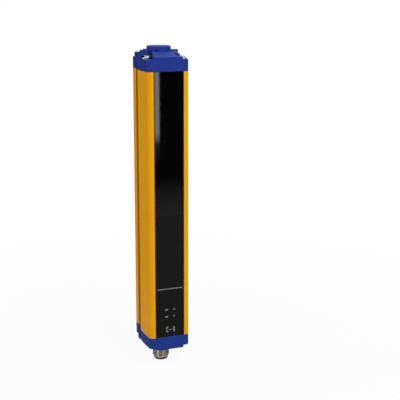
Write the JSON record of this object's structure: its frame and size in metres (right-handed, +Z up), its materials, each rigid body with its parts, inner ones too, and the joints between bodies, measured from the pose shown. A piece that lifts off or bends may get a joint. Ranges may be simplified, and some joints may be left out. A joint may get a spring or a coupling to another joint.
{
  "type": "safety light curtain",
  "caption": "Slim upright receiver bar of a safety light curtain: yellow aluminium profile with a dark front window, blue moulded end caps, a swivel boss on top and a round plug connector below",
  "frame": {"origin": "the free end of the plug connector, on the common upright axis of connector and swivel boss", "axes": "+Z runs up the bar to the swivel boss; -Y is the way the window looks; +X is the bar's right side seen from its front"},
  "size_m": [0.03, 0.039, 0.225],
  "materials": {
    "yellow_coat": "satin powder coat",
    "dark_window": "polished",
    "blue_moulding": "fine moulded grain",
    "seal_rubber": "matte",
    "zinc_screws": "zinc plated",
    "nickel_shell": "nickel plated",
    "black_insert": "moulded",
    "contact_gold": "gold plated",
    "board_green": "solder mask",
    "flex_amber": "film",
    "block_black": "moulded",
    "lens_clear": "polished",
    "diode_dark": "moulded",
    "chip_black": "moulded",
    "header_white": "moulded",
    "can_metal": "satin",
    "lamp_amber": "clear",
    "guide_clear": "clear",
    "spring_steel": "bright",
    "foam_grey": "foam"
  },
  "bodies": {
    "root": {"housing_profile": "yellow_coat", "front_window": "dark_window", "window_seals": "seal_rubber", "top_cap": "blue_moulding", "bottom_cap": "blue_moulding", "top_cap_seal": "seal_rubber", "bottom_cap_seal": "seal_rubber", "top_cap_screws": "zinc_screws", "bottom_cap_screws": "zinc_screws", "connector_shell": "nickel_shell", "connector_o_ring": "seal_rubber", "connector_nut": "nickel_shell", "connector_insert": "black_insert", "connector_pins": "contact_gold", "connector_board": "board_green", "connector_flex": "flex_amber", "optics_block": "block_black", "receiver_lenses": "lens_clear", "aperture_strip": "block_black", "receiver_board": "board_green", "photodiodes": "diode_dark", "board_clips": "spring_steel", "control_board": "board_green", "board_header": "header_white", "microcontrollers": "chip_black", "output_switches": "chip_black", "buffer_capacitors": "can_metal", "indicator_lamps": "lamp_amber", "light_guides": "guide_clear", "indicator_frame": "block_black", "earth_spring": "spring_steel", "end_pads": "foam_grey"}
  },
  "joints": []
}
